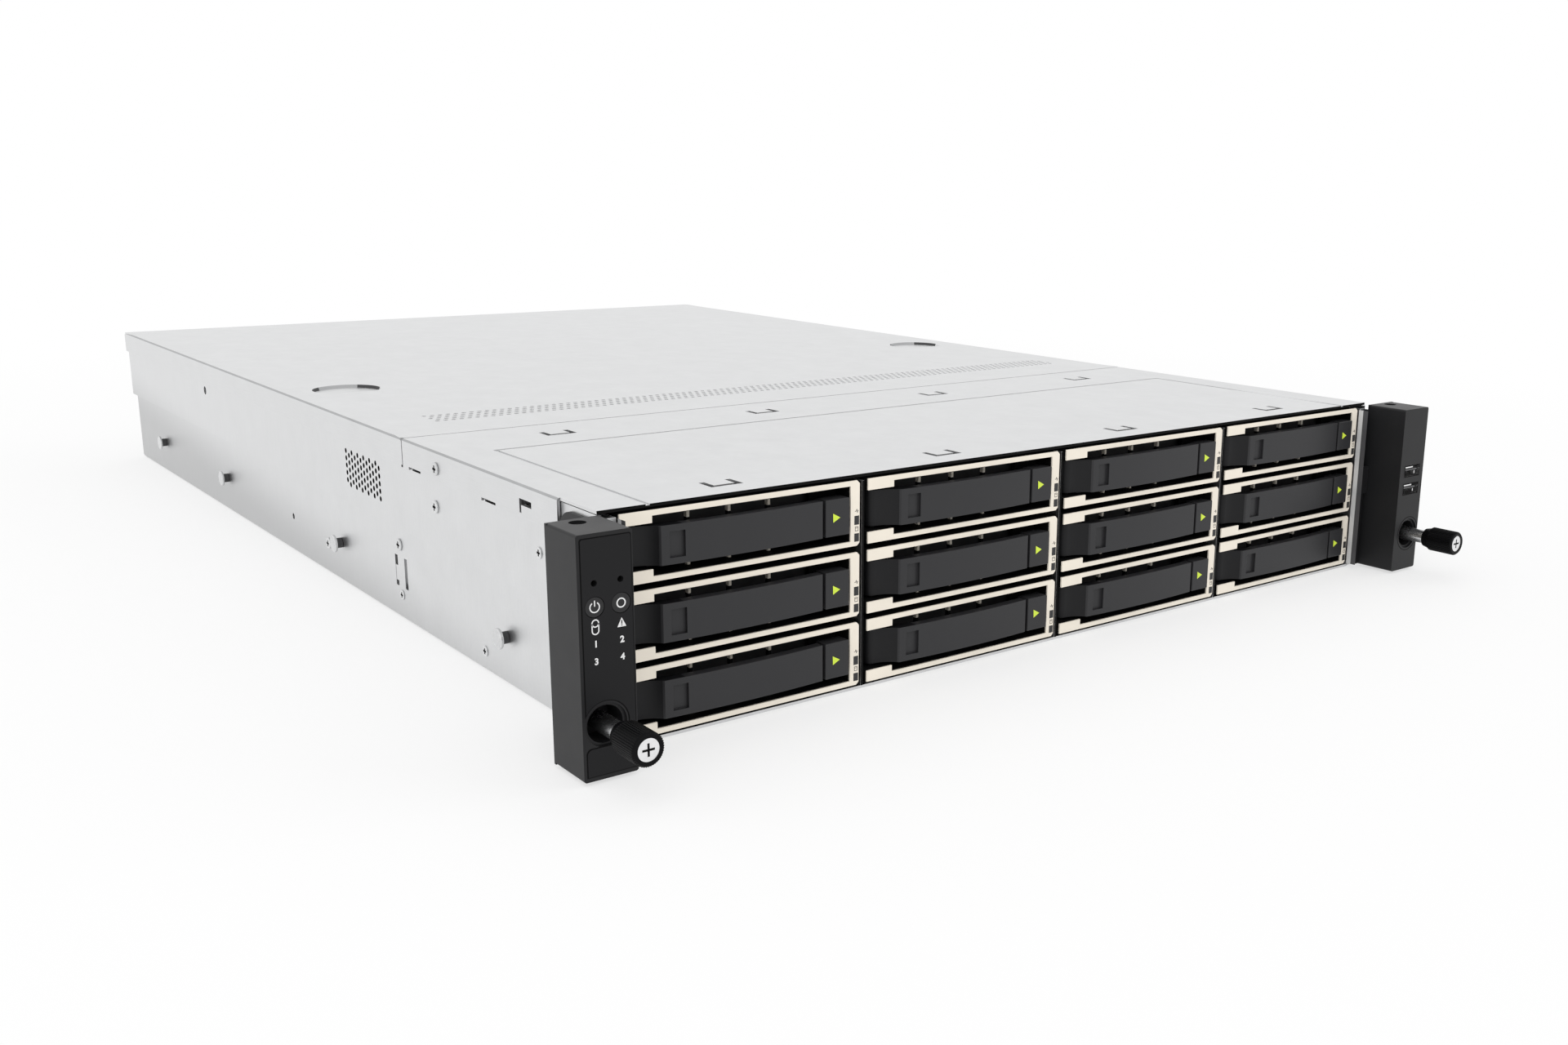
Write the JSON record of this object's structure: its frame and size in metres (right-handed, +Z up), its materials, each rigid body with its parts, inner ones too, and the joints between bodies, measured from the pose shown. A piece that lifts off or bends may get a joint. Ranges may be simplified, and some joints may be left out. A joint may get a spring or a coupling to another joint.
{
  "type": "2u rack server",
  "caption": "Rack server with drive carriers on swing levers, moulded rack ears with captive thumbscrews, a sliding cover and plug-in power supplies.",
  "frame": {"origin": "centre of the underside, at the middle of the overall length and width", "axes": "front faces -Y, +X to the right as seen from the front, +Z up"},
  "size_m": [0.4826, 0.7606, 0.0871],
  "materials": {
    "case_steel": "satin zinc-coated sheet",
    "cage": "satin zinc-coated sheet",
    "drive_carrier": "satin cream",
    "lever": "satin dark grey",
    "latch_button": "satin black",
    "ear": "satin black",
    "button": "satin black",
    "sleeve": "turned",
    "knob": "knurled black",
    "fan_rotor": "matte black",
    "fan_frame": "matte black",
    "power_supply": "satin",
    "socket_shell": "bright",
    "fastener": "bright zinc",
    "circuit_board": "satin green"
  },
  "bodies": {
    "chassis": {"chassis": "case_steel", "drive_cage": "cage", "front_cover": "case_steel", "rail_studs": "fastener", "chassis_screws": "fastener", "left_ear": "ear", "right_ear": "ear", "usb_ports": "socket_shell", "backplane": "circuit_board", "fan_frames": "fan_frame", "main_board": "circuit_board"},
    "main_cover": {"main_cover": "case_steel"},
    "carrier_01": {"carrier_01": "drive_carrier"},
    "lever_01": {"lever_01": "lever"},
    "latch_button_01": {"latch_button_01": "latch_button"},
    "carrier_02": {"carrier_02": "drive_carrier"},
    "lever_02": {"lever_02": "lever"},
    "latch_button_02": {"latch_button_02": "latch_button"},
    "carrier_03": {"carrier_03": "drive_carrier"},
    "lever_03": {"lever_03": "lever"},
    "latch_button_03": {"latch_button_03": "latch_button"},
    "carrier_04": {"carrier_04": "drive_carrier"},
    "lever_04": {"lever_04": "lever"},
    "latch_button_04": {"latch_button_04": "latch_button"},
    "carrier_05": {"carrier_05": "drive_carrier"},
    "lever_05": {"lever_05": "lever"},
    "latch_button_05": {"latch_button_05": "latch_button"},
    "carrier_06": {"carrier_06": "drive_carrier"},
    "lever_06": {"lever_06": "lever"},
    "latch_button_06": {"latch_button_06": "latch_button"},
    "carrier_07": {"carrier_07": "drive_carrier"},
    "lever_07": {"lever_07": "lever"},
    "latch_button_07": {"latch_button_07": "latch_button"},
    "carrier_08": {"carrier_08": "drive_carrier"},
    "lever_08": {"lever_08": "lever"},
    "latch_button_08": {"latch_button_08": "latch_button"},
    "carrier_09": {"carrier_09": "drive_carrier"},
    "lever_09": {"lever_09": "lever"},
    "latch_button_09": {"latch_button_09": "latch_button"},
    "carrier_10": {"carrier_10": "drive_carrier"},
    "lever_10": {"lever_10": "lever"},
    "latch_button_10": {"latch_button_10": "latch_button"},
    "carrier_11": {"carrier_11": "drive_carrier"},
    "lever_11": {"lever_11": "lever"},
    "latch_button_11": {"latch_button_11": "latch_button"},
    "carrier_12": {"carrier_12": "drive_carrier"},
    "lever_12": {"lever_12": "lever"},
    "latch_button_12": {"latch_button_12": "latch_button"},
    "power_button": {"power_button": "button"},
    "id_button": {"id_button": "button"},
    "left_sleeve": {"left_sleeve": "sleeve"},
    "left_thumbscrew": {"left_thumbscrew": "knob"},
    "right_sleeve": {"right_sleeve": "sleeve"},
    "right_thumbscrew": {"right_thumbscrew": "knob"},
    "fan_rotor_1": {"fan_rotor_1": "fan_rotor"},
    "fan_rotor_2": {"fan_rotor_2": "fan_rotor"},
    "fan_rotor_3": {"fan_rotor_3": "fan_rotor"},
    "fan_rotor_4": {"fan_rotor_4": "fan_rotor"},
    "power_supply_1": {"power_supply_1": "power_supply"},
    "power_supply_2": {"power_supply_2": "power_supply"}
  },
  "joints": [
    {"name": "main_cover_slide", "type": "slide", "parent": "chassis", "child": "main_cover", "axis": [0, 1, 0], "range_m": [0, 0.018]},
    {"name": "carrier_01_slide", "type": "slide", "parent": "chassis", "child": "carrier_01", "axis": [0, -1, 0], "range_m": [0, 0.165]},
    {"name": "lever_01_swing", "type": "hinge", "parent": "carrier_01", "child": "lever_01", "pos_m": [-0.20695, -0.32255, 0.07211], "axis": [0, 0, -1], "range_deg": [0, 60]},
    {"name": "latch_button_01_press", "type": "slide", "parent": "carrier_01", "child": "latch_button_01", "axis": [0, 1, 0], "range_m": [0, 0.002], "stiffness_N_per_m": 600, "springref_m": -0.001},
    {"name": "carrier_02_slide", "type": "slide", "parent": "chassis", "child": "carrier_02", "axis": [0, -1, 0], "range_m": [0, 0.165]},
    {"name": "lever_02_swing", "type": "hinge", "parent": "carrier_02", "child": "lever_02", "pos_m": [-0.09935, -0.32255, 0.07211], "axis": [0, 0, -1], "range_deg": [0, 60]},
    {"name": "latch_button_02_press", "type": "slide", "parent": "carrier_02", "child": "latch_button_02", "axis": [0, 1, 0], "range_m": [0, 0.002], "stiffness_N_per_m": 600, "springref_m": -0.001},
    {"name": "carrier_03_slide", "type": "slide", "parent": "chassis", "child": "carrier_03", "axis": [0, -1, 0], "range_m": [0, 0.165]},
    {"name": "lever_03_swing", "type": "hinge", "parent": "carrier_03", "child": "lever_03", "pos_m": [0.00825, -0.32255, 0.07211], "axis": [0, 0, -1], "range_deg": [0, 60]},
    {"name": "latch_button_03_press", "type": "slide", "parent": "carrier_03", "child": "latch_button_03", "axis": [0, 1, 0], "range_m": [0, 0.002], "stiffness_N_per_m": 600, "springref_m": -0.001},
    {"name": "carrier_04_slide", "type": "slide", "parent": "chassis", "child": "carrier_04", "axis": [0, -1, 0], "range_m": [0, 0.165]},
    {"name": "lever_04_swing", "type": "hinge", "parent": "carrier_04", "child": "lever_04", "pos_m": [0.11585, -0.32255, 0.07211], "axis": [0, 0, -1], "range_deg": [0, 60]},
    {"name": "latch_button_04_press", "type": "slide", "parent": "carrier_04", "child": "latch_button_04", "axis": [0, 1, 0], "range_m": [0, 0.002], "stiffness_N_per_m": 600, "springref_m": -0.001},
    {"name": "carrier_05_slide", "type": "slide", "parent": "chassis", "child": "carrier_05", "axis": [0, -1, 0], "range_m": [0, 0.165]},
    {"name": "lever_05_swing", "type": "hinge", "parent": "carrier_05", "child": "lever_05", "pos_m": [-0.20695, -0.32255, 0.04369], "axis": [0, 0, -1], "range_deg": [0, 60]},
    {"name": "latch_button_05_press", "type": "slide", "parent": "carrier_05", "child": "latch_button_05", "axis": [0, 1, 0], "range_m": [0, 0.002], "stiffness_N_per_m": 600, "springref_m": -0.001},
    {"name": "carrier_06_slide", "type": "slide", "parent": "chassis", "child": "carrier_06", "axis": [0, -1, 0], "range_m": [0, 0.165]},
    {"name": "lever_06_swing", "type": "hinge", "parent": "carrier_06", "child": "lever_06", "pos_m": [-0.09935, -0.32255, 0.04369], "axis": [0, 0, -1], "range_deg": [0, 60]},
    {"name": "latch_button_06_press", "type": "slide", "parent": "carrier_06", "child": "latch_button_06", "axis": [0, 1, 0], "range_m": [0, 0.002], "stiffness_N_per_m": 600, "springref_m": -0.001},
    {"name": "carrier_07_slide", "type": "slide", "parent": "chassis", "child": "carrier_07", "axis": [0, -1, 0], "range_m": [0, 0.165]},
    {"name": "lever_07_swing", "type": "hinge", "parent": "carrier_07", "child": "lever_07", "pos_m": [0.00825, -0.32255, 0.04369], "axis": [0, 0, -1], "range_deg": [0, 60]},
    {"name": "latch_button_07_press", "type": "slide", "parent": "carrier_07", "child": "latch_button_07", "axis": [0, 1, 0], "range_m": [0, 0.002], "stiffness_N_per_m": 600, "springref_m": -0.001},
    {"name": "carrier_08_slide", "type": "slide", "parent": "chassis", "child": "carrier_08", "axis": [0, -1, 0], "range_m": [0, 0.165]},
    {"name": "lever_08_swing", "type": "hinge", "parent": "carrier_08", "child": "lever_08", "pos_m": [0.11585, -0.32255, 0.04369], "axis": [0, 0, -1], "range_deg": [0, 60]},
    {"name": "latch_button_08_press", "type": "slide", "parent": "carrier_08", "child": "latch_button_08", "axis": [0, 1, 0], "range_m": [0, 0.002], "stiffness_N_per_m": 600, "springref_m": -0.001},
    {"name": "carrier_09_slide", "type": "slide", "parent": "chassis", "child": "carrier_09", "axis": [0, -1, 0], "range_m": [0, 0.165]},
    {"name": "lever_09_swing", "type": "hinge", "parent": "carrier_09", "child": "lever_09", "pos_m": [-0.20695, -0.32255, 0.01528], "axis": [0, 0, -1], "range_deg": [0, 60]},
    {"name": "latch_button_09_press", "type": "slide", "parent": "carrier_09", "child": "latch_button_09", "axis": [0, 1, 0], "range_m": [0, 0.002], "stiffness_N_per_m": 600, "springref_m": -0.001},
    {"name": "carrier_10_slide", "type": "slide", "parent": "chassis", "child": "carrier_10", "axis": [0, -1, 0], "range_m": [0, 0.165]},
    {"name": "lever_10_swing", "type": "hinge", "parent": "carrier_10", "child": "lever_10", "pos_m": [-0.09935, -0.32255, 0.01528], "axis": [0, 0, -1], "range_deg": [0, 60]},
    {"name": "latch_button_10_press", "type": "slide", "parent": "carrier_10", "child": "latch_button_10", "axis": [0, 1, 0], "range_m": [0, 0.002], "stiffness_N_per_m": 600, "springref_m": -0.001},
    {"name": "carrier_11_slide", "type": "slide", "parent": "chassis", "child": "carrier_11", "axis": [0, -1, 0], "range_m": [0, 0.165]},
    {"name": "lever_11_swing", "type": "hinge", "parent": "carrier_11", "child": "lever_11", "pos_m": [0.00825, -0.32255, 0.01528], "axis": [0, 0, -1], "range_deg": [0, 60]},
    {"name": "latch_button_11_press", "type": "slide", "parent": "carrier_11", "child": "latch_button_11", "axis": [0, 1, 0], "range_m": [0, 0.002], "stiffness_N_per_m": 600, "springref_m": -0.001},
    {"name": "carrier_12_slide", "type": "slide", "parent": "chassis", "child": "carrier_12", "axis": [0, -1, 0], "range_m": [0, 0.165]},
    {"name": "lever_12_swing", "type": "hinge", "parent": "carrier_12", "child": "lever_12", "pos_m": [0.11585, -0.32255, 0.01528], "axis": [0, 0, -1], "range_deg": [0, 60]},
    {"name": "latch_button_12_press", "type": "slide", "parent": "carrier_12", "child": "latch_button_12", "axis": [0, 1, 0], "range_m": [0, 0.002], "stiffness_N_per_m": 600, "springref_m": -0.001},
    {"name": "power_button_press", "type": "slide", "parent": "chassis", "child": "power_button", "axis": [0, 1, 0], "range_m": [0, 0.0012], "stiffness_N_per_m": 600, "springref_m": -0.001},
    {"name": "id_button_press", "type": "slide", "parent": "chassis", "child": "id_button", "axis": [0, 1, 0], "range_m": [0, 0.0012], "stiffness_N_per_m": 600, "springref_m": -0.001},
    {"name": "left_sleeve_push", "type": "slide", "parent": "chassis", "child": "left_sleeve", "axis": [0, 1, 0], "range_m": [0, 0.011], "stiffness_N_per_m": 200, "springref_m": -0.002},
    {"name": "left_thumbscrew_turn", "type": "hinge", "parent": "left_sleeve", "child": "left_thumbscrew", "pos_m": [-0.23255, -0.36285, 0.0204], "axis": [0, 1, 0], "continuous": true},
    {"name": "right_sleeve_push", "type": "slide", "parent": "chassis", "child": "right_sleeve", "axis": [0, 1, 0], "range_m": [0, 0.011], "stiffness_N_per_m": 200, "springref_m": -0.002},
    {"name": "right_thumbscrew_turn", "type": "hinge", "parent": "right_sleeve", "child": "right_thumbscrew", "pos_m": [0.23255, -0.36285, 0.0204], "axis": [0, 1, 0], "continuous": true},
    {"name": "fan_rotor_1_spin", "type": "hinge", "parent": "chassis", "child": "fan_rotor_1", "pos_m": [-0.153, -0.04775, 0.0412], "axis": [0, 1, 0], "continuous": true},
    {"name": "fan_rotor_2_spin", "type": "hinge", "parent": "chassis", "child": "fan_rotor_2", "pos_m": [-0.051, -0.04775, 0.0412], "axis": [0, 1, 0], "continuous": true},
    {"name": "fan_rotor_3_spin", "type": "hinge", "parent": "chassis", "child": "fan_rotor_3", "pos_m": [0.051, -0.04775, 0.0412], "axis": [0, 1, 0], "continuous": true},
    {"name": "fan_rotor_4_spin", "type": "hinge", "parent": "chassis", "child": "fan_rotor_4", "pos_m": [0.153, -0.04775, 0.0412], "axis": [0, 1, 0], "continuous": true},
    {"name": "power_supply_1_slide", "type": "slide", "parent": "chassis", "child": "power_supply_1", "axis": [0, 1, 0], "range_m": [0, 0.196]},
    {"name": "power_supply_2_slide", "type": "slide", "parent": "chassis", "child": "power_supply_2", "axis": [0, 1, 0], "range_m": [0, 0.196]}
  ]
}
